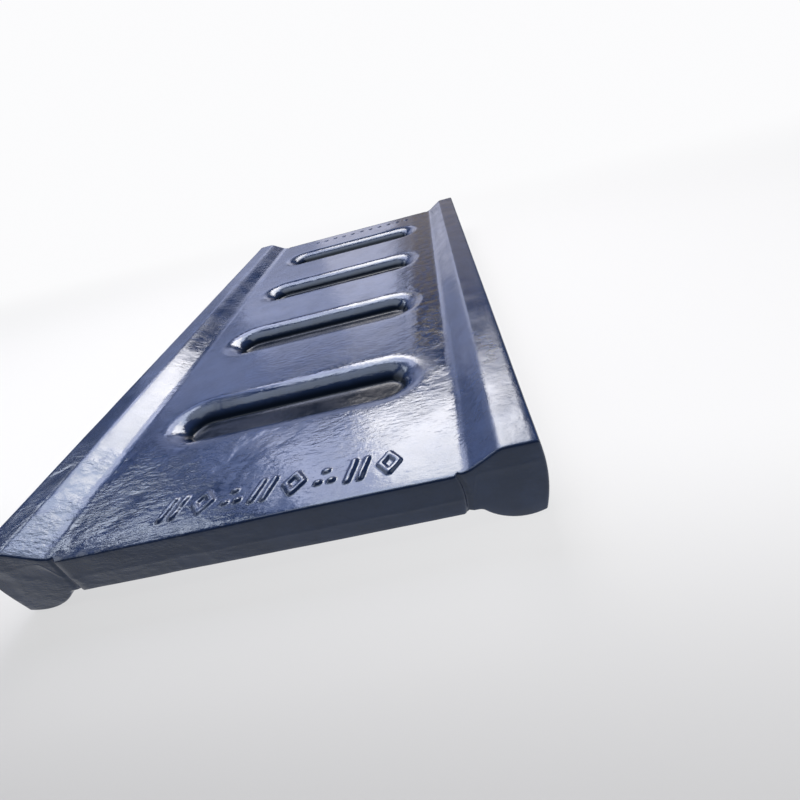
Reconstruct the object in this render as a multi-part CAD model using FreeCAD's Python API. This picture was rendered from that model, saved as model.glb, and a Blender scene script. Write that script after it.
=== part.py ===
"""Toggle plate of a jaw crusher: one steel casting, in millimetres.

The plate is a strut between the moving jaw and the back of the crusher's frame. It is pushed
from edge to edge: each long edge is a thick, rounded end that rolls in a toggle seat. Between
them is a flat web, weakened by a row of pockets, so that the plate breaks before the crusher does.

Frame: X from one rolled end to the other, Y along the plate, Z up.
The origin is in the middle of the plate, on the ground that the two ends stand on.
"""
import os
import FreeCAD
import Part

# Main sizes
LENGTH = 1280.0            # along Y, over the web
WEB_THICKNESS = 60.0
WEB_BOTTOM = 24.0          # height of the web's underside above the ground

# The two thick ends, given for the +X side and mirrored for the other
ROLL_HEIGHT = 60.0         # height of both arcs' centres above the ground
SEAT_RADIUS = 245.0        # the outer face, which rolls in the toggle seat
SEAT_REACH = 335.0         # how far the outer face comes from the middle
BEAD_RADIUS = 60.0         # the rounded foot under each end
BEAD_X = 305.0
RAIL_TOP = 107.0           # the flat top of each end
SLOPE_FOOT_X = 250.0       # where the slope would leave the web if it had no fillet
SLOPE_CREST_X = 290.0      # where it would meet the rail's top
END_SETBACK = 4.0          # the ends stop this far short of the web, at each end face

# The web's end faces
WEB_TAB_HALF_WIDTH = 239.0
PATTERN_DRAFT = 1.2        # the end faces lean back this much, above and below mid-thickness

# The pockets, as they would be with sharp edges
POCKET_COUNT = 4
POCKET_PITCH = 282.0
FIRST_POCKET_Y = -397.0
POCKET_DEPTH = 24.0
POCKET_HALF_LENGTH = 190.6
POCKET_HALF_WIDTH = 46.2
POCKET_WALL_INSET = 18.8   # the walls lean in by this much over the depth

# Rounded edges
SLOPE_FOOT_FILLET = 35.0
SLOPE_CREST_FILLET = 20.0
OUTER_CORNER_FILLET = 4.0
BEAD_FOOT_FILLET = 8.0
END_FACE_FILLET = 3.0
POCKET_RIM_FILLET = 50.0
POCKET_FLOOR_FILLET = 6.0

WEB_TOP = WEB_BOTTOM + WEB_THICKNESS
SEAT_CENTRE_X = SEAT_REACH - SEAT_RADIUS


def point(x, y, z):
    return FreeCAD.Vector(x, y, z)


def circle_x(centre_x, radius, z):
    """X of the outer side of an end's arc, at a height."""
    return centre_x + (radius ** 2 - (z - ROLL_HEIGHT) ** 2) ** 0.5


def end_corners():
    """The sharp corners of the +X end, from the web's top round to its underside, as (x, z)."""
    top_outer = (circle_x(SEAT_CENTRE_X, SEAT_RADIUS, RAIL_TOP), RAIL_TOP)
    # Both arcs have their centres at the same height, so they cross on a vertical line.
    gap = BEAD_X - SEAT_CENTRE_X
    cross_x = SEAT_CENTRE_X + (SEAT_RADIUS ** 2 - BEAD_RADIUS ** 2 + gap ** 2) / (2.0 * gap)
    cross_z = ROLL_HEIGHT - (BEAD_RADIUS ** 2 - (cross_x - BEAD_X) ** 2) ** 0.5
    foot_x = BEAD_X - (BEAD_RADIUS ** 2 - (ROLL_HEIGHT - WEB_BOTTOM) ** 2) ** 0.5
    return {
        "slope_foot": (SLOPE_FOOT_X, WEB_TOP),
        "slope_crest": (SLOPE_CREST_X, RAIL_TOP),
        "top_outer": top_outer,
        "seat_middle": (SEAT_REACH, ROLL_HEIGHT),
        "bottom_outer": (cross_x, cross_z),
        "bead_bottom": (BEAD_X, ROLL_HEIGHT - BEAD_RADIUS),
        "bead_foot": (foot_x, WEB_BOTTOM),
    }


def section_face(y):
    """The whole cross-section of the plate, with sharp corners, standing at a place along Y."""
    corners = end_corners()

    def at(name, side):
        x, z = corners[name]
        return point(side * x, y, z)

    edges = []
    for side in (1.0, -1.0):
        edges.append(Part.makeLine(at("slope_foot", side), at("slope_crest", side)))
        edges.append(Part.makeLine(at("slope_crest", side), at("top_outer", side)))
        seat = Part.Arc(at("top_outer", side), at("seat_middle", side), at("bottom_outer", side))
        bead = Part.Arc(at("bottom_outer", side), at("bead_bottom", side), at("bead_foot", side))
        edges.append(seat.toShape())
        edges.append(bead.toShape())
    edges.append(Part.makeLine(at("slope_foot", -1.0), at("slope_foot", 1.0)))
    edges.append(Part.makeLine(at("bead_foot", -1.0), at("bead_foot", 1.0)))
    return Part.Face(Part.Wire(Part.__sortEdges__(edges)))


def long_edges_at(solid, corner):
    """The edges that run along Y through a corner of the section, on both sides."""
    x, z = corner
    found = []
    for edge in solid.Edges:
        middle = edge.BoundBox.Center
        runs_along_y = edge.BoundBox.YLength > 0.9 * solid.BoundBox.YLength
        if runs_along_y and abs(abs(middle.x) - x) < 0.5 and abs(middle.z - z) < 0.5:
            found.append(edge)
    return found


def rolled_plate():
    """The section drawn out along the plate, with its long edges and its end faces rounded."""
    start = -LENGTH / 2.0 + END_SETBACK
    solid = section_face(start).extrude(point(0, -2.0 * start, 0))
    corners = end_corners()
    roundings = (
        ("slope_foot", SLOPE_FOOT_FILLET),
        ("slope_crest", SLOPE_CREST_FILLET),
        ("bead_foot", BEAD_FOOT_FILLET),
        ("top_outer", OUTER_CORNER_FILLET),
        ("bottom_outer", OUTER_CORNER_FILLET),
    )
    for name, radius in roundings:
        solid = solid.makeFillet(radius, long_edges_at(solid, corners[name]))
    rim = [edge for edge in solid.Edges if edge.BoundBox.YLength < 0.01]
    return solid.makeFillet(END_FACE_FILLET, rim)


def web_tab():
    """The web's own slab, which stands a little proud of the thick ends at both end faces."""
    tip = LENGTH / 2.0
    shoulder = tip - PATTERN_DRAFT
    middle = WEB_BOTTOM + WEB_THICKNESS / 2.0
    outline = [
        (-tip, middle), (-shoulder, WEB_TOP), (shoulder, WEB_TOP),
        (tip, middle), (shoulder, WEB_BOTTOM), (-shoulder, WEB_BOTTOM), (-tip, middle),
    ]
    wire = Part.makePolygon([point(-WEB_TAB_HALF_WIDTH, y, z) for y, z in outline])
    slab = Part.Face(wire).extrude(point(2.0 * WEB_TAB_HALF_WIDTH, 0, 0))
    near_tip = []
    for edge in slab.Edges:
        box = edge.BoundBox
        at_end_face = abs(box.Center.y) > shoulder - 1.0
        at_mid_thickness = box.XLength > 1.0 and abs(box.Center.z - middle) < 1.0
        if at_end_face and not at_mid_thickness:
            near_tip.append(edge)
    return slab.makeFillet(END_FACE_FILLET, near_tip)


def stadium(y, z, half_length, half_width):
    """A closed wire with two straight sides along X and two half-round ends."""
    straight = half_length - half_width
    a = point(-straight, y - half_width, z)
    b = point(straight, y - half_width, z)
    c = point(straight, y + half_width, z)
    d = point(-straight, y + half_width, z)
    right = Part.Arc(b, point(half_length, y, z), c)
    left = Part.Arc(d, point(-half_length, y, z), a)
    return Part.Wire([Part.makeLine(a, b), right.toShape(), Part.makeLine(c, d), left.toShape()])


def pocket_core(y):
    """What the foundry's core fills in one pocket, with leaning walls and sharp edges."""
    floor = WEB_TOP - POCKET_DEPTH
    above = 1.5                # how many pocket depths the core stands over its floor
    lean = POCKET_WALL_INSET
    narrow = stadium(y, floor, POCKET_HALF_LENGTH - lean, POCKET_HALF_WIDTH - lean)
    spread = lean * (above - 1.0)
    wide = stadium(y, floor + above * POCKET_DEPTH,
                   POCKET_HALF_LENGTH + spread, POCKET_HALF_WIDTH + spread)
    return Part.makeLoft([narrow, wide], True, True)


def pocket_edges(solid, z):
    """The edges of all pockets at one height: their rims at the web's top, or their floors."""
    found = []
    for edge in solid.Edges:
        box = edge.BoundBox
        level = box.ZLength < 0.01 and abs(box.Center.z - z) < 0.01
        inside = box.XMax < POCKET_HALF_LENGTH + 1.0 and box.XMin > -POCKET_HALF_LENGTH - 1.0
        if level and inside and abs(box.Center.y) < LENGTH / 2.0 - POCKET_HALF_WIDTH:
            found.append(edge)
    return found


def toggle_plate():
    solid = rolled_plate().fuse(web_tab()).removeSplitter()
    for number in range(POCKET_COUNT):
        solid = solid.cut(pocket_core(FIRST_POCKET_Y + number * POCKET_PITCH))
    floor = WEB_TOP - POCKET_DEPTH
    solid = solid.makeFillet(POCKET_FLOOR_FILLET, pocket_edges(solid, floor))
    return solid.makeFillet(POCKET_RIM_FILLET, pocket_edges(solid, WEB_TOP))


os.makedirs("parts", exist_ok=True)
plate = toggle_plate()
box = plate.optimalBoundingBox(False)
print("valid", plate.isValid(), "solids", len(plate.Solids), "faces", len(plate.Faces))
print("size", round(box.XLength, 2), round(box.YLength, 2), round(box.ZLength, 2))
print("lowest", round(box.ZMin, 3), "volume in litres", round(plate.Volume / 1e6, 3))
plate.exportStep("parts/toggle_plate.step")
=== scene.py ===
import math

import bpy
from mathutils import Matrix, Vector, noise


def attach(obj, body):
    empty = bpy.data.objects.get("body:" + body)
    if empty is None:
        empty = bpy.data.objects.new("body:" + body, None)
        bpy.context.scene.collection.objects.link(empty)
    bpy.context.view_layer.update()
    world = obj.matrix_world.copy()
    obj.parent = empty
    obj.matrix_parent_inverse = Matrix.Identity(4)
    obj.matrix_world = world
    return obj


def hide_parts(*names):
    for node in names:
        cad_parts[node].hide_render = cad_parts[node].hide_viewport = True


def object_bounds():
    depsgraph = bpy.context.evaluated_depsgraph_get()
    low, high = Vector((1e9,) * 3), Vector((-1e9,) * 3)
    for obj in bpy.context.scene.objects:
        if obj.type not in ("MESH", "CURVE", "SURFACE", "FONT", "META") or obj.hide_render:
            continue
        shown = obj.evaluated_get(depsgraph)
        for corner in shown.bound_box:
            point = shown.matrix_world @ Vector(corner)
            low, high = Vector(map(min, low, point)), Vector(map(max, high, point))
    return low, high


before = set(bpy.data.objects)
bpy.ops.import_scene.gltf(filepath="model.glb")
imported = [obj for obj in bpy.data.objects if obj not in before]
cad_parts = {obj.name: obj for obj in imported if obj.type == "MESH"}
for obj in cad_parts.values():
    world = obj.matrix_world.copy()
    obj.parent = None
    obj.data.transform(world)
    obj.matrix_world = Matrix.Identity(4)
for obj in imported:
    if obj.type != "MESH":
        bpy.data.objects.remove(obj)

solid_low, solid_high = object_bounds()

# ---------------------------------------------------------------------------------------------
# The camera stands close to the plate's marked end, low and a little to the right, with a wide
# lens. It leans over to one side, so that the plate seems to run uphill to the right.
CAMERA_PLACE = Vector((0.28196, -1.00219, 0.42212))
CAMERA_AIM = Vector((0.2219, -0.4861, 0.084))
CAMERA_LEAN = math.radians(16.305)
LENS_MM = 21.1155
SIDE_SHIFT = -0.04297

camera = bpy.data.objects.new("camera", bpy.data.cameras.new("camera"))
bpy.context.scene.collection.objects.link(camera)
camera.data.sensor_width = 36.0
camera.data.lens = LENS_MM
camera.data.shift_x = SIDE_SHIFT
camera.data.clip_start = 0.01
upright = (CAMERA_AIM - CAMERA_PLACE).to_track_quat("-Z", "Y").to_matrix().to_4x4()
lean = Matrix.Rotation(-CAMERA_LEAN, 4, "Z")
camera.matrix_world = Matrix.Translation(CAMERA_PLACE) @ upright @ lean
bpy.context.scene.camera = camera

# ---------------------------------------------------------------------------------------------
# The toggle plate is one heavy steel casting: a flat web between two thick, rounded ends that
# roll in the crusher's seats. It is cast in sand, so every edge is soft and the skin is uneven.

# Its surface is a net of rings round the cross-section, in millimetres until the end.
MM = 0.001
HALF_LENGTH = (solid_high.y - solid_low.y) / 2 / MM
RAIL_TOP = solid_high.z / MM
WEB_TOP = 84.0
WEB_BOTTOM = 24.0
ROLL_HEIGHT = 60.0          # height of the centres of both end arcs
SEAT_CENTRE_X = 90.0        # the outer face is an arc round this line
SEAT_RADIUS = 245.0
BEAD_CENTRE_X = 305.0       # the rounded foot is an arc round this line
BEAD_RADIUS = 60.0
BEAD_FOOT_FILLET = 8.0
SLOPE_FOOT = (250.0, WEB_TOP)
SLOPE_FOOT_FILLET = 35.0
SLOPE_CREST = (290.0, RAIL_TOP)
SLOPE_CREST_FILLET = 20.0
CORNER_FILLET = 4.0


def spread(start, end, gap):
    """Evenly spaced values from start to end, about a gap apart, without the last one."""
    steps = max(1, round(abs(end - start) / gap))
    return [start + (end - start) * i / steps for i in range(steps)]


def line(start, end, steps):
    """Points from start to end in the section's plane, without the last one."""
    return [tuple(a + (b - a) * i / steps for a, b in zip(start, end)) for i in range(steps)]


def on_arc(centre, radius, angle):
    return (centre[0] + radius * math.cos(angle), centre[1] + radius * math.sin(angle))


def arc(centre, radius, start, end, steps):
    """Points round a centre from one angle to another in radians, without the last one."""
    return [on_arc(centre, radius, start + (end - start) * i / steps) for i in range(steps)]


def bend(before, corner, after, radius):
    """A fillet at the corner between two straight lines: its centre, first and last angle."""
    corner = Vector(corner)
    back = (Vector(before) - corner).normalized()
    on = (Vector(after) - corner).normalized()
    half = back.angle(on) / 2
    centre = corner + (back + on).normalized() * (radius / math.sin(half))
    reach = radius / math.tan(half)
    start = corner + back * reach - centre
    end = corner + on * reach - centre
    first = math.atan2(start.y, start.x)
    turn = (math.atan2(end.y, end.x) - first + math.pi) % (2 * math.pi) - math.pi
    return centre, first, first + turn


def smooth(low, high, value):
    """0 at low, 1 at high, and a smooth change between."""
    t = min(max((value - low) / (high - low), 0.0), 1.0)
    return t * t * (3 - 2 * t)


# The pockets: four blind, round-ended recesses across the web, with a wide rolled rim, leaning
# walls and a flat floor. They are cored in the mould, and make the plate the weakest link.
POCKET_COUNT = 4
POCKET_PITCH = 282.0
FIRST_POCKET_Y = -397.0
POCKET_DEPTH = 24.0
POCKET_HALF_LENGTH = 215.0  # to where the rim starts to roll over
POCKET_HALF_WIDTH = 70.5
POCKET_END_X = POCKET_HALF_LENGTH - POCKET_HALF_WIDTH
RIM_RADIUS = 50.0
FLOOR_FILLET = 6.0
WALL_LEAN = math.atan2(24.0, 18.8)
RIM_RUN = RIM_RADIUS * math.sin(WALL_LEAN)
RIM_DROP = RIM_RADIUS * (1 - math.cos(WALL_LEAN))
FILLET_RUN = FLOOR_FILLET * math.sin(WALL_LEAN)
FILLET_DROP = FLOOR_FILLET * (1 - math.cos(WALL_LEAN))
WALL_RUN = (POCKET_DEPTH - RIM_DROP - FILLET_DROP) / math.tan(WALL_LEAN)
SIDE_RUN = RIM_RUN + WALL_RUN + FILLET_RUN
# How far in from the rim's start the net's lines run, close together where it curves most.
WALL_STATIONS = [0.0, 6.0, 12.0, 17.5, 22.5, 27.0, 31.0, 34.5, 37.5, 39.8, 41.6, 43.4, SIDE_RUN]
END_BLEND = 1.34            # the net's lines bend round a pocket's end out to here


def pocket_at(y):
    """The middle of the pocket nearest to a place along the plate."""
    number = min(max(round((y - FIRST_POCKET_Y) / POCKET_PITCH), 0), POCKET_COUNT - 1)
    return FIRST_POCKET_Y + number * POCKET_PITCH


def round_the_end(x, y):
    """Bends the net's straight lines round a pocket's half-round ends, so that they follow it."""
    middle = pocket_at(y)
    across = (abs(x) - POCKET_END_X) / POCKET_HALF_WIDTH
    along = (y - middle) / POCKET_HALF_WIDTH
    ring = max(across, abs(along))
    if across <= 0 or ring >= END_BLEND:
        return x, y
    if across > abs(along):
        angle = math.pi / 4 * along / across
    else:
        angle = math.copysign(math.pi / 2 - math.pi / 4 * across / abs(along), along)
    keep = 1 - smooth(1.0, END_BLEND, ring)
    across += (ring * math.cos(angle) - across) * keep
    along += (ring * math.sin(angle) - along) * keep
    x = math.copysign(POCKET_END_X + across * POCKET_HALF_WIDTH, x)
    return x, middle + along * POCKET_HALF_WIDTH


def pocket_depth(x, y):
    """How deep the web's top lies below its flat part at a place."""
    across = max(abs(x) - POCKET_END_X, 0.0)
    inside = POCKET_HALF_WIDTH - math.hypot(across, y - pocket_at(y))
    if inside <= 0:
        return 0.0
    if inside < RIM_RUN:
        return RIM_RADIUS - math.sqrt(RIM_RADIUS ** 2 - inside ** 2)
    if inside < RIM_RUN + WALL_RUN:
        return RIM_DROP + (inside - RIM_RUN) * math.tan(WALL_LEAN)
    if inside < SIDE_RUN:
        left = SIDE_RUN - inside
        return POCKET_DEPTH - FLOOR_FILLET + math.sqrt(FLOOR_FILLET ** 2 - left ** 2)
    return POCKET_DEPTH


# Where the net's lines run along the web, from its middle out to its edge.
WEB_EDGE = 239.0
NET_GAP = 9.0
columns = spread(0, POCKET_END_X, NET_GAP)
columns += spread(POCKET_END_X, POCKET_HALF_LENGTH - SIDE_RUN, 6)
columns += [POCKET_HALF_LENGTH - inside for inside in reversed(WALL_STATIONS)]
columns += spread(POCKET_HALF_LENGTH + 7, WEB_EDGE - 3, 7)
columns += [WEB_EDGE - 3, WEB_EDGE - 1, WEB_EDGE]


def upper_half():
    """The section from the middle of the web's top, over the rail, to the outer face."""
    foot = bend((0, WEB_TOP), SLOPE_FOOT, SLOPE_CREST, SLOPE_FOOT_FILLET)
    crest = bend(SLOPE_FOOT, SLOPE_CREST, (400, RAIL_TOP), SLOPE_CREST_FILLET)
    corner_z = RAIL_TOP - CORNER_FILLET
    seat = SEAT_RADIUS - CORNER_FILLET
    corner_end = math.asin((corner_z - ROLL_HEIGHT) / seat)
    corner_x = SEAT_CENTRE_X + seat * math.cos(corner_end)
    foot_end = on_arc(foot[0], SLOPE_FOOT_FILLET, foot[2])
    crest_start = on_arc(crest[0], SLOPE_CREST_FILLET, crest[1])
    crest_end = on_arc(crest[0], SLOPE_CREST_FILLET, crest[2])
    points = [(x, WEB_TOP) for x in columns]
    points += arc(foot[0], SLOPE_FOOT_FILLET, foot[1], foot[2], 6)
    points += line(foot_end, crest_start, 4)
    points += arc(crest[0], SLOPE_CREST_FILLET, crest[1], crest[2], 5)
    points += line(crest_end, (corner_x, RAIL_TOP), 5)
    points += arc((corner_x, corner_z), CORNER_FILLET, math.pi / 2, corner_end, 4)
    points += arc((SEAT_CENTRE_X, ROLL_HEIGHT), SEAT_RADIUS, corner_end, 0.0, 6)
    return points


def lower_half():
    """The section from the middle of the web's underside, round the foot, to the outer face."""
    foot_z = WEB_BOTTOM - BEAD_FOOT_FILLET
    foot_reach = BEAD_RADIUS + BEAD_FOOT_FILLET
    foot_x = BEAD_CENTRE_X - math.sqrt(foot_reach ** 2 - (ROLL_HEIGHT - foot_z) ** 2)
    foot_end = math.atan2(ROLL_HEIGHT - foot_z, BEAD_CENTRE_X - foot_x)
    seat = SEAT_RADIUS - CORNER_FILLET
    bead = BEAD_RADIUS - CORNER_FILLET
    apart = BEAD_CENTRE_X - SEAT_CENTRE_X
    corner_x = SEAT_CENTRE_X + (seat ** 2 - bead ** 2 + apart ** 2) / (2 * apart)
    corner_z = ROLL_HEIGHT - math.sqrt(bead ** 2 - (corner_x - BEAD_CENTRE_X) ** 2)
    corner_start = math.atan2(corner_z - ROLL_HEIGHT, corner_x - BEAD_CENTRE_X)
    corner_end = math.atan2(corner_z - ROLL_HEIGHT, corner_x - SEAT_CENTRE_X)
    bead_end = 2 * math.pi + corner_start
    points = [(x, WEB_BOTTOM) for x in columns]
    points += line((242.0, WEB_BOTTOM), (foot_x, WEB_BOTTOM), 2)
    points += arc((foot_x, foot_z), BEAD_FOOT_FILLET, math.pi / 2, foot_end, 4)
    points += arc((BEAD_CENTRE_X, ROLL_HEIGHT), BEAD_RADIUS, math.pi + foot_end, bead_end, 13)
    points += arc((corner_x, corner_z), CORNER_FILLET, corner_start, corner_end, 4)
    points += arc((SEAT_CENTRE_X, ROLL_HEIGHT), SEAT_RADIUS, corner_end, 0.0, 7)
    return points


def whole(half):
    """A half section with its mirror image, from the -X outer face to the +X one."""
    tip = (SEAT_CENTRE_X + SEAT_RADIUS, ROLL_HEIGHT)
    return [(-x, z) for x, z in [tip] + half[:0:-1]] + half + [tip]


top_side = whole(upper_half())
under_side = whole(lower_half())
SPAN = len(top_side) - 1
section = [Vector(p) for p in top_side + under_side[-2:0:-1]]
AROUND = len(section)


def into_metal(index):
    """The direction into the metal at a point of the section."""
    along = (section[(index + 1) % AROUND] - section[index - 1]).normalized()
    return Vector((along.y, -along.x))


# The end faces: the web's own face stands a little proud of the thick ends, with a sunk seam
# between them, and it leans back above and below the mould's joint, where a thin fin is left.
END_SETBACK = 4.0
SEAM_DEPTH = 2.5            # below the thick end's face
PATTERN_DRAFT = 1.2
FIN_HEIGHT = 0.45
FIN_Z_WEB = 50.0
FIN_Z_ENDS = 80.0
END_EDGE_RADIUS = 3.0
EDGE_STEPS = 4


def end_face_y(x, z):
    """Half the plate's length at a place on its end face."""
    web_share = 1 - smooth(236.5, 240.5, abs(x))
    lean_back = PATTERN_DRAFT * min(abs(z - FIN_Z_WEB) / (WEB_TOP - FIN_Z_WEB), 1.0)
    seam = SEAM_DEPTH * smooth(238, 240.5, abs(x)) * smooth(244.5, 241, abs(x))
    back = FIN_HEIGHT + lean_back * web_share + (END_SETBACK + seam) * (1 - web_share)
    return HALF_LENGTH - back


# The cast skin: the sand leaves swellings and shallow hollows in the metal, always inside the
# pattern's own face. They are strongest round the marks and along the foot of one slope.
SKIN = ((70.0, 0.35), (26.0, 0.22), (12.0, 0.10))     # sizes and heights of the swellings


def skin_depth(x, y, z):
    spot = Vector((x, y, z))
    rough = 0.6 + 0.8 * smooth(-380, -520, y) * smooth(60, -120, x)
    rough += 0.35 * smooth(190, 215, x) * smooth(262, 240, x)
    depth = sum(height * (0.5 + noise.noise(spot / size)) for size, height in SKIN)
    return max(depth, 0.0) * rough


# The marks: a row of plain raised shapes where a foundry puts its casting marks, moulded in the
# sand with loose pattern pieces, so they stand a little crooked. A fainter row of small pips
# lies at the far end.
MARK_HEIGHT = 3.8
MARK_STROKE = 3.7           # half the width of a raised stroke
MARK_ROW_Y = -593.0
MARK_FIRST_X = -105.0
MARK_PITCH = 38.5
MARK_COUNT = 8
MARK_TURN = 0.07            # how crooked a mark may stand, in radians
HALF_TALL = 15.5
HALF_WIDE = 11.0
BARS = (((-11, -HALF_TALL), (-4, HALF_TALL)), ((4, -HALF_TALL), (11, HALF_TALL)))
LOZENGE = (
    ((0, -HALF_TALL), (HALF_WIDE, 0)), ((HALF_WIDE, 0), (0, HALF_TALL)),
    ((0, HALF_TALL), (-HALF_WIDE, 0)), ((-HALF_WIDE, 0), (0, -HALF_TALL)),
)
PIPS = (((-9, -9), (-7, -9)), ((7, -9), (9, -9)), ((-1, 9), (1, 9)))
MARK_SHAPES = (BARS, LOZENGE, PIPS)
PIP_ROW_Y = 592.0
PIP_FIRST_X = -128.0
PIP_PITCH = 30.0
PIP_COUNT = 11
PIP_HEIGHT = 1.8
PIP_STRAY = 5.0


def stroke_distance(point, ends):
    start, end = Vector(ends[0]), Vector(ends[1])
    along = end - start
    t = min(max((point - start).dot(along) / along.length_squared, 0.0), 1.0)
    return (point - start - along * t).length


def mark_height(x, y):
    """How far the row of marks stands up from the web at a place."""
    number = min(max(round((x - MARK_FIRST_X) / MARK_PITCH), 0), MARK_COUNT - 1)
    crooked = MARK_TURN * noise.noise(Vector((number * 1.7, 0.5, 0.0)))
    point = Vector((x - MARK_FIRST_X - number * MARK_PITCH, y - MARK_ROW_Y))
    point.rotate(Matrix.Rotation(crooked, 2))
    nearest = min(stroke_distance(point, ends) for ends in MARK_SHAPES[number % 3])
    worn = 0.8 + 0.3 * noise.noise(Vector((x / 14, y / 14, 3.0)))
    return MARK_HEIGHT * worn * smooth(MARK_STROKE + 2.0, MARK_STROKE - 2.2, nearest)


def pip_height(x, y):
    """How far the far end's row of pips stands up from the web at a place."""
    number = min(max(round((x - PIP_FIRST_X) / PIP_PITCH), 0), PIP_COUNT - 1)
    side = PIP_STRAY * noise.noise(Vector((number * 2.3, 7.5, 0.0)))
    away = math.hypot(x - PIP_FIRST_X - number * PIP_PITCH, (y - PIP_ROW_Y - side) / 1.4)
    return PIP_HEIGHT * smooth(8.0, 3.0, away)


# The rows of the net along the plate, the rings they make, and the casting's skin on them.
FIRST_ROW_Y = -HALF_LENGTH + 12.0
FLOOR_GAP = 7.5
rows = spread(FIRST_ROW_Y, FIRST_POCKET_Y - POCKET_HALF_WIDTH, NET_GAP)
for number in range(POCKET_COUNT):
    middle = FIRST_POCKET_Y + number * POCKET_PITCH
    rim = [POCKET_HALF_WIDTH - inside for inside in WALL_STATIONS]
    rows += [middle - reach for reach in rim]
    rows += spread(middle - rim[-1], middle + rim[-1], FLOOR_GAP)[1:]
    rows += [middle + reach for reach in reversed(rim)]
    last = number == POCKET_COUNT - 1
    next_edge = -FIRST_ROW_Y if last else middle + POCKET_PITCH - POCKET_HALF_WIDTH
    rows += spread(middle + POCKET_HALF_WIDTH, next_edge, NET_GAP)[1:]
rows.append(-FIRST_ROW_Y)

# Towards its marked end the web sags on one side, where the mould's edge has washed off.
SAG = 2.2
SAG_FROM_Y = -608.0
SAG_FULL_X = -110.0
SAG_END_X = 70.0

verts = []
faces = []
split_edges = {}            # the points along an edge where a finer patch meets the net


def add_point(x, y, z):
    """Puts one point of the net in metres, and returns its number."""
    verts.append((x * MM, y * MM, z * MM))
    return len(verts) - 1


def add_face(*corners):
    """Adds a face, with the extra points that a finer patch puts along its edges."""
    loop = []
    for a, b in zip(corners, corners[1:] + corners[:1]):
        loop.append(a)
        loop += split_edges.get((a, b), []) or split_edges.get((b, a), [])[::-1]
    faces.append(loop)


def edge_sag(x, y):
    """How far the web's top sags towards its marked end, where the mould's edge has washed off."""
    share = min(max((SAG_FROM_Y - y) / (SAG_FROM_Y + HALF_LENGTH), 0.0), 1.0)
    return SAG * share ** 2 * smooth(SAG_END_X, SAG_FULL_X, x)


def web_surface(x, y):
    """Height of the web's top at a place, with its pocket and its skin."""
    return WEB_TOP - pocket_depth(x, y) - skin_depth(x, y, WEB_TOP) - edge_sag(x, y)


def ring(y):
    """A ring of points round the section at a place along the plate."""
    numbers = []
    for index, point in enumerate(section):
        if 0 < index < SPAN and abs(point.x) <= WEB_EDGE:
            x, row_y = round_the_end(point.x, y)
            numbers.append(add_point(x, row_y, web_surface(x, row_y)))
        else:
            p = point + into_metal(index) * skin_depth(point.x, y, point.y)
            numbers.append(add_point(p.x, y, p.y))
    return numbers


def edge_ring(side, step):
    """A ring on the rounded edge round an end face. Step 0 lies in the face itself."""
    angle = step / EDGE_STEPS * math.pi / 2
    numbers = []
    for index, point in enumerate(section):
        depth = skin_depth(point.x, side * HALF_LENGTH, point.y)
        inset = END_EDGE_RADIUS * (1 - math.sin(angle)) + depth * math.sin(angle)
        back = END_EDGE_RADIUS * (1 - math.cos(angle)) + depth * math.cos(angle)
        p = point + into_metal(index) * inset
        on_web = point.y == WEB_TOP and abs(point.x) <= WEB_EDGE
        sag = edge_sag(point.x, side * HALF_LENGTH) if on_web else 0.0
        numbers.append(add_point(p.x, side * (end_face_y(p.x, p.y) - back), p.y - sag))
    return numbers


near_edge = [edge_ring(-1, step) for step in range(EDGE_STEPS + 1)]
far_edge = [edge_ring(1, step) for step in range(EDGE_STEPS, -1, -1)]
body_rings = [ring(y) for y in rows]
rings = near_edge + body_rings + far_edge

# The two marked strips of the web are finer patches set into the net.
PATCH_STEPS = 6


def finer_patch(first_x, last_x, first_y, last_y, height):
    """Lays a finer patch over some cells of the web and returns those cells."""
    across = [i for i in range(1, SPAN) if first_x <= section[i].x <= last_x]
    along = [j for j, y in enumerate(rows) if first_y <= y <= last_y]
    fine = {}

    def fine_point(i, j, u, v):
        """A point of the patch, shared along the patch's rim with the coarser net."""
        key = (i * PATCH_STEPS + u, j * PATCH_STEPS + v)
        if key in fine:
            return fine[key]
        low_row, high_row = body_rings[j], body_rings[j + 1]
        near = Vector(verts[low_row[i]]).lerp(Vector(verts[low_row[i + 1]]), u / PATCH_STEPS)
        far = Vector(verts[high_row[i]]).lerp(Vector(verts[high_row[i + 1]]), u / PATCH_STEPS)
        p = near.lerp(far, v / PATCH_STEPS) / MM
        at_rim = key[0] in (across[0] * PATCH_STEPS, across[-1] * PATCH_STEPS)
        at_rim = at_rim or key[1] in (along[0] * PATCH_STEPS, along[-1] * PATCH_STEPS)
        if u % PATCH_STEPS == 0 and v % PATCH_STEPS == 0:
            fine[key] = body_rings[j + v // PATCH_STEPS][i + u // PATCH_STEPS]
            z = web_surface(p.x, p.y) + height(p.x, p.y)
            if not at_rim:
                verts[fine[key]] = (p.x * MM, p.y * MM, z * MM)
        else:
            z = p.z if at_rim else web_surface(p.x, p.y) + height(p.x, p.y)
            fine[key] = add_point(p.x, p.y, z)
        return fine[key]

    cells = set()
    for i in across[:-1]:
        for j in along[:-1]:
            cells.add((i, j + len(near_edge)))
            for u in range(PATCH_STEPS):
                for v in range(PATCH_STEPS):
                    quad = ((u, v), (u + 1, v), (u + 1, v + 1), (u, v + 1))
                    faces.append([fine_point(i, j, a, b) for a, b in quad])
    steps = range(1, PATCH_STEPS)
    for j in (along[0], along[-1]):
        for i in across[:-1]:
            ends = (body_rings[j][i], body_rings[j][i + 1])
            split_edges[ends] = [fine[(i * PATCH_STEPS + u, j * PATCH_STEPS)] for u in steps]
    for i in (across[0], across[-1]):
        for j in along[:-1]:
            ends = (body_rings[j][i], body_rings[j + 1][i])
            split_edges[ends] = [fine[(i * PATCH_STEPS, j * PATCH_STEPS + v)] for v in steps]
    return cells


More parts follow.
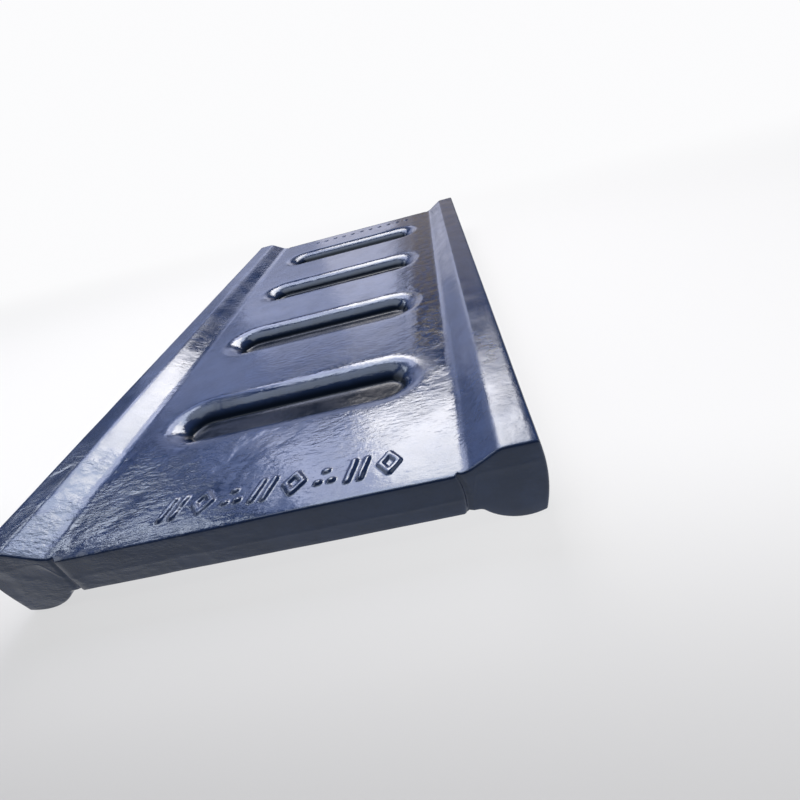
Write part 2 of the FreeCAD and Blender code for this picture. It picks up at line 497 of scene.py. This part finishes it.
patched = finer_patch(-128, 190, -622, -565, mark_height)
patched |= finer_patch(-146, 190, 565, 622, pip_height)

for j in range(len(rings) - 1):
    for i in range(AROUND):
        after = (i + 1) % AROUND
        if (i, j) not in patched:
            add_face(rings[j][i], rings[j][after], rings[j + 1][after], rings[j + 1][i])

# Each end face is closed by a ladder of rungs from the upper edge to the lower one. The rungs
# have a point at the mould's joint, so that the fin there is a real ridge.
RUNG_STEPS = 5
FIN_HALF = 1.6              # half the fin's thickness
SEAM_BOW = 3.5              # the +X seam bows out this far at mid-height


def rung(edge, side, index):
    """The points down one rung of an end face, from the ring's upper side to its lower one."""
    upper = edge[index]
    lower = edge[AROUND - index]
    top = Vector(verts[upper]) / MM
    low = Vector(verts[lower]) / MM
    fin_z = FIN_Z_WEB + (FIN_Z_ENDS - FIN_Z_WEB) * smooth(243, 262, abs(top.x))
    wander = 1.5 * noise.noise(Vector((top.x / 30, side * 4.0, 0.5)))
    half = FIN_HALF / (top.z - low.z)
    share = min(max((top.z - fin_z + wander) / (top.z - low.z), 0.12), 0.88)
    shares = spread(0, share - half, (share - half) / RUNG_STEPS)[1:]
    shares += [share - half, share, share + half]
    shares += spread(share + half, 1, (1 - share - half) / RUNG_STEPS)[1:]
    numbers = [upper]
    for part in shares:
        p = top.lerp(low, part)
        height = (p.z - WEB_BOTTOM) / (WEB_TOP - WEB_BOTTOM) * 2 - 1
        bow = SEAM_BOW * (1 - min(height ** 2, 1.0))
        bow *= smooth(225, 238, p.x) * smooth(262, 243, p.x)
        ragged = 0.5 + noise.noise(Vector((p.x / 9, side * 3.0, 2.0)))
        fin = FIN_HEIGHT * min(max(ragged, 0.0), 1.0) if part == share else 0.0
        y = end_face_y(p.x, p.z) + fin - skin_depth(p.x, side * HALF_LENGTH, p.z)
        numbers.append(add_point(p.x + bow, side * y, p.z))
    return numbers + [lower]


for side, edge in ((-1, near_edge[0]), (1, far_edge[-1])):
    rungs = [rung(edge, side, index) for index in range(1, SPAN)]
    for left, right in zip(rungs, rungs[1:]):
        for k in range(len(left) - 1):
            quad = (left[k], left[k + 1], right[k + 1], right[k])
            add_face(*quad[::-side])
    for tip, nearest, turn in ((edge[0], rungs[0], 1), (edge[SPAN], rungs[-1], -1)):
        for k in range(len(nearest) - 1):
            add_face(*(tip, nearest[k + 1], nearest[k])[::-side * turn])

casting_mesh = bpy.data.meshes.new("toggle_plate_casting")
casting_mesh.from_pydata(verts, [], faces)
casting_mesh.validate()
casting_mesh.shade_smooth()
casting = bpy.data.objects.new("toggle_plate_casting", casting_mesh)
bpy.context.scene.collection.objects.link(casting)
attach(casting, "root")
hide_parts("toggle_plate")

# The finish is one thick coat of glossy, blue-black enamel, sprayed straight on the cast skin.
# The pockets' colour is darkened and their shine turned down, as painted shade in the recesses.
# Beside one rail the skin is crusty, and some brown dust has dried into the paint there. Places
# are in metres.
DEEP_BLUE = (0.008, 0.018, 0.056, 1.0)
THIN_BLUE = (0.014, 0.028, 0.080, 1.0)
DRIED_DUST = (0.030, 0.025, 0.022, 1.0)
# Painted shade: the dark colour put in the pockets, where shade falls in the recesses.
POCKET_PAINTED_SHADE = (0.003, 0.006, 0.014, 1.0)
GLOSS_TINT = (0.78, 0.89, 1.0, 1.0)
PEEL_HEIGHT = 0.22          # the heights of the skin's grain are in millimetres
CRUST_HEIGHT = 1.5
LUMP_HEIGHT = 1.0
WRINKLE_HEIGHTS = (0.14, 0.38)
DRAWN_OUT = (0.45, 1.0, 1.0)
FULL_SHINE = 0.5
DULL_SHINE = 0.12

paint = bpy.data.materials.new("blue_black_enamel")
paint.use_nodes = True
tree = paint.node_tree
enamel = tree.nodes["Principled BSDF"]
enamel.inputs["IOR"].default_value = 1.5
enamel.inputs["Specular Tint"].default_value = GLOSS_TINT


def feed(socket, value):
    """Links a socket to another node's, or sets it to a plain value."""
    if isinstance(value, bpy.types.NodeSocket):
        tree.links.new(value, socket)
    else:
        socket.default_value = value


def node(kind, *inputs, **settings):
    """Adds a node to the tree at hand. Its inputs are given in order or by their names."""
    made = tree.nodes.new(kind)
    for name, value in settings.items():
        if hasattr(made, name):
            setattr(made, name, value)
        else:
            feed(made.inputs[name], value)
    for socket, value in zip(made.inputs, inputs):
        feed(socket, value)
    return made


def combine(operation, first, *others):
    """Works through several values in order, such as adding or multiplying them all."""
    result = first
    for value in others:
        result = node("ShaderNodeMath", result, value, operation=operation).outputs[0]
    return result


def ramp(value, low, high, to_low=0.0, to_high=1.0):
    """A smooth change of a value from one range to another."""
    made = node("ShaderNodeMapRange", value, low, high, to_low, to_high)
    made.interpolation_type = "SMOOTHSTEP"
    return made.outputs["Result"]


def colour_between(share, first, second):
    """A colour that goes from the first to the second as the share goes from 0 to 1."""
    made = node("ShaderNodeMix", data_type="RGBA")
    for socket, value in zip((0, 6, 7), (share, first, second)):
        feed(made.inputs[socket], value)
    return made.outputs[2]


def grain(place, size, detail=2.0, roughness=0.5):
    """Cloudy noise with lumps of about a size."""
    made = node("ShaderNodeTexNoise", Vector=place, Scale=1 / size, Detail=detail)
    made.inputs["Roughness"].default_value = roughness
    return made.outputs["Fac"]


place = node("ShaderNodeTexCoord").outputs["Object"]
along_x, along_y, along_z = node("ShaderNodeSeparateXYZ", Vector=place).outputs
drawn = node("ShaderNodeMapping", Vector=place, Scale=DRAWN_OUT).outputs["Vector"]

# Where the skin is rough: round the marks on one side, and in a band beside the +X rail.
patches = grain(place, 0.09, 3.0)
near_end = ramp(along_y, -0.36, -0.50)
one_side = ramp(along_x, 0.08, -0.12, 0.25, 1.0)
marks_rough = combine("MULTIPLY", near_end, one_side, ramp(patches, 0.38, 0.52))
band = combine("MULTIPLY", ramp(along_x, 0.178, 0.205), ramp(along_x, 0.252, 0.238))
band = combine("MULTIPLY", band, ramp(along_y, -0.37, -0.28), ramp(along_z, 0.070, 0.080))

# The grain: orange peel all over, flow wrinkles across the web, crust and lumps where it is
# rough.
peel = combine("MULTIPLY", grain(place, 0.010, 3.0), PEEL_HEIGHT)
above_floors = ramp(along_z, 0.066, 0.083, 0.3, 1.0)
below_rails = ramp(along_z, 0.100, 0.087, 0.15, 1.0)
on_web = combine("MULTIPLY", above_floors, below_rails)
wrinkled = combine("MULTIPLY", ramp(patches, 0.35, 0.6, *WRINKLE_HEIGHTS), on_web)
wrinkles = combine("MULTIPLY", grain(drawn, 0.006, 3.0, 0.6), wrinkled)
crust = combine("MULTIPLY", grain(drawn, 0.010, 4.0, 0.6), CRUST_HEIGHT, marks_rough)
lumps = combine("MULTIPLY", grain(place, 0.022, 2.0), LUMP_HEIGHT, band)
height = combine("ADD", peel, wrinkles, crust, lumps)
cast_grain = node("ShaderNodeBump", Height=height, Distance=MM, Strength=1.0)
feed(enamel.inputs["Normal"], cast_grain.outputs["Normal"])

# The colour: a little lighter where the coat is thin, brown in the crust, and darkened in the
# pockets as painted shade.
thin = ramp(grain(place, 0.035, 4.0, 0.6), 0.35, 0.7)
coat = colour_between(thin, DEEP_BLUE, THIN_BLUE)
fleck = combine("MULTIPLY", ramp(grain(place, 0.014, 4.0, 0.7), 0.44, 0.60), band)
dusty = colour_between(fleck, coat, DRIED_DUST)
x_from_middle = node("ShaderNodeMath", along_x, operation="ABSOLUTE").outputs[0]
y_from_middle = node("ShaderNodeMath", along_y, operation="ABSOLUTE").outputs[0]
# Painted shade: a mask of the pockets, where the colour is darkened and the shine turned down.
pocket_painted_shade = combine(
    "MULTIPLY",
    ramp(along_z, 0.040, 0.050),
    ramp(along_z, 0.074, 0.064),
    ramp(x_from_middle, 0.226, 0.218),
    ramp(y_from_middle, 0.59, 0.57),
)
feed(enamel.inputs["Base Color"], colour_between(pocket_painted_shade, dusty, POCKET_PAINTED_SHADE))

# The shine: turned down in the pockets as painted shade, weak in the crust, and softer on the
# rails' tops.
dull_crust_and_painted_shade = combine("MAXIMUM", pocket_painted_shade, combine("MULTIPLY", band, 0.62))
feed(enamel.inputs["Specular IOR Level"], ramp(dull_crust_and_painted_shade, 0.0, 1.0, FULL_SHINE, DULL_SHINE))
uneven = ramp(grain(place, 0.05, 3.0), 0.3, 0.7, 0.10, 0.20)
on_rails = ramp(along_z, 0.098, 0.105, 0.0, 0.07)
roughness = combine("ADD", uneven, combine("MULTIPLY", fleck, 0.05), on_rails)
feed(enamel.inputs["Roughness"], roughness)
casting_mesh.materials.append(paint)

# ---------------------------------------------------------------------------------------------
# The studio: a plain pale floor that fades into a white surround, and large soft boxes, mostly
# behind the plate, which the wet-looking paint mirrors. None of it belongs to the plate.
FLOOR_RADIUS = 60.0
FLOOR_SIDES = 96
FLOOR_GREY = (0.12, 0.12, 0.12, 1.0)
FLOOR_GLOW = (1.0, 1.0, 1.01, 1.0)
STUDIO_WHITE = (0.97, 0.97, 0.98, 1.0)
FADE_START = 2.5
FADE_END = 7.0
FLOOR_SLANT = math.radians(10.0)

floor_mesh = bpy.data.meshes.new("studio_floor")
turns = [2 * math.pi * i / FLOOR_SIDES for i in range(FLOOR_SIDES)]
rim = [(FLOOR_RADIUS * math.cos(a), FLOOR_RADIUS * math.sin(a), 0.0) for a in turns]
floor_mesh.from_pydata(rim, [], [range(len(rim))])
floor = bpy.data.objects.new("studio_floor", floor_mesh)
bpy.context.scene.collection.objects.link(floor)

# The floor is lit mostly from within. It darkens at a slant past the plate's marked end, and what
# the camera sees of it fades to white further out on every side.
floor_paint = bpy.data.materials.new("pale_floor")
floor_paint.use_nodes = True
tree = floor_paint.node_tree
pale = tree.nodes["Principled BSDF"]
pale.inputs["Base Color"].default_value = FLOOR_GREY
pale.inputs["Roughness"].default_value = 0.9
pale.inputs["Specular IOR Level"].default_value = 0.0
pale.inputs["Emission Color"].default_value = FLOOR_GLOW
floor_place = node("ShaderNodeTexCoord").outputs["Object"]
slant = node("ShaderNodeVectorMath", floor_place, operation="DOT_PRODUCT")
slant.inputs[1].default_value = (math.sin(FLOOR_SLANT), math.cos(FLOOR_SLANT), 0.0)
along_slant = slant.outputs["Value"]
near_glow = ramp(along_slant, -1.06, -0.42, 0.33, 0.80)
glow = combine("ADD", near_glow, ramp(along_slant, -2.2, -0.9, -0.30, 0.0))
feed(pale.inputs["Emission Strength"], glow)
distance = node("ShaderNodeVectorMath", floor_place, operation="LENGTH").outputs["Value"]
all_round = ramp(distance, FADE_START, FADE_END)
away = combine("MAXIMUM", all_round, ramp(along_slant, 0.5, 1.4), ramp(along_slant, -1.1, -1.7))
white = node("ShaderNodeEmission", Color=STUDIO_WHITE, Strength=1.0)
eye = node("ShaderNodeLightPath").outputs["Is Camera Ray"]
faded = node(
    "ShaderNodeMixShader",
    combine("MULTIPLY", away, eye),
    pale.outputs["BSDF"],
    white.outputs["Emission"],
)
feed(tree.nodes["Material Output"].inputs["Surface"], faded.outputs["Shader"])
floor_mesh.materials.append(floor_paint)

# The surround is white to the camera, but gives the plate only a faint, cool light.
SURROUND_TINT = (0.84, 0.93, 1.0, 1.0)
SURROUND_LIGHT = 0.12
world = bpy.data.worlds.new("white_surround")
world.use_nodes = True
tree = world.node_tree
dim = tree.nodes["Background"]
dim.inputs["Color"].default_value = SURROUND_TINT
dim.inputs["Strength"].default_value = SURROUND_LIGHT
plain_white = node("ShaderNodeBackground", Color=STUDIO_WHITE, Strength=1.0)
seen = node(
    "ShaderNodeMixShader",
    node("ShaderNodeLightPath").outputs["Is Camera Ray"],
    dim.outputs["Background"],
    plain_white.outputs["Background"],
)
feed(tree.nodes["World Output"].inputs["Surface"], seen.outputs["Shader"])
bpy.context.scene.world = world
bpy.context.scene.view_settings.view_transform = "Standard"

# The soft boxes are flat panels round the plate. Each row gives a panel's name, the way it lies
# from the plate, its middle in metres, how wide and tall it is, its brightness and its colour.
BEHIND = Vector((0, 1, 0))
ABOVE = Vector((0, 0, 1))
RIGHT = Vector((1, 0, 0))
PANELS = (
    ("key", BEHIND, (0.03, 1.4, 1.93), (1.05, 1.34), 15.62, (1.00, 0.93, 0.90)),
    ("key_top", BEHIND, (-0.47, 1.4, 3.40), (2.05, 1.60), 10.50, (0.85, 0.87, 1.00)),
    ("key_side", BEHIND, (-0.84, 1.4, 1.975), (0.68, 1.25), 7.50, (0.79, 0.80, 1.00)),
    ("key_dim", BEHIND, (-1.39, 1.4, 2.21), (0.42, 1.58), 2.40, (0.56, 0.64, 1.00)),
    ("key_far_side", BEHIND, (-2.67, 1.4, 2.80), (1.05, 1.80), 7.00, (0.90, 0.93, 1.00)),
    ("back", BEHIND, (-0.86, 5.0, 2.12), (0.88, 1.35), 2.25, (0.77, 0.79, 1.00)),
    ("back_middle", BEHIND, (-1.95, 5.0, 2.12), (1.30, 1.35), 1.70, (0.69, 0.73, 1.00)),
    ("back_side", BEHIND, (-3.55, 5.0, 2.65), (1.90, 1.50), 1.25, (0.58, 0.65, 1.00)),
    ("back_far_side", BEHIND, (-5.05, 5.0, 3.45), (1.10, 0.70), 1.20, (0.58, 0.65, 1.00)),
    ("back_low", BEHIND, (-0.76, 5.0, 0.97), (0.98, 0.95), 1.30, (0.85, 0.84, 1.00)),
    ("back_low_side", BEHIND, (-2.83, 5.0, 1.02), (3.15, 0.85), 0.75, (0.71, 0.74, 1.00)),
    ("back_right", BEHIND, (0.36, 5.0, 1.30), (1.27, 1.60), 0.42, (1.00, 0.83, 0.70)),
    ("ceiling", ABOVE, (-0.70, -0.22, 3.0), (2.30, 1.65), 2.8, (1.00, 1.00, 1.00)),
    ("right", RIGHT, (9.0, 1.0, 5.70), (9.00, 6.60), 1.5, (1.00, 1.00, 1.00)),
    ("left", -RIGHT, (-9.0, -1.0, 5.70), (9.00, 6.60), 1.5, (1.00, 1.00, 1.00)),
)
for name, way, middle, size, brightness, colour in PANELS:
    light = bpy.data.lights.new(name, "AREA")
    light.shape = "RECTANGLE"
    light.size, light.size_y = size
    light.color = colour
    light.energy = brightness * size[0] * size[1] * math.pi
    panel = bpy.data.objects.new(name, light)
    bpy.context.scene.collection.objects.link(panel)
    panel.location = middle
    panel.rotation_euler = way.to_track_quat("Z", "Y").to_euler()
    panel.visible_camera = False
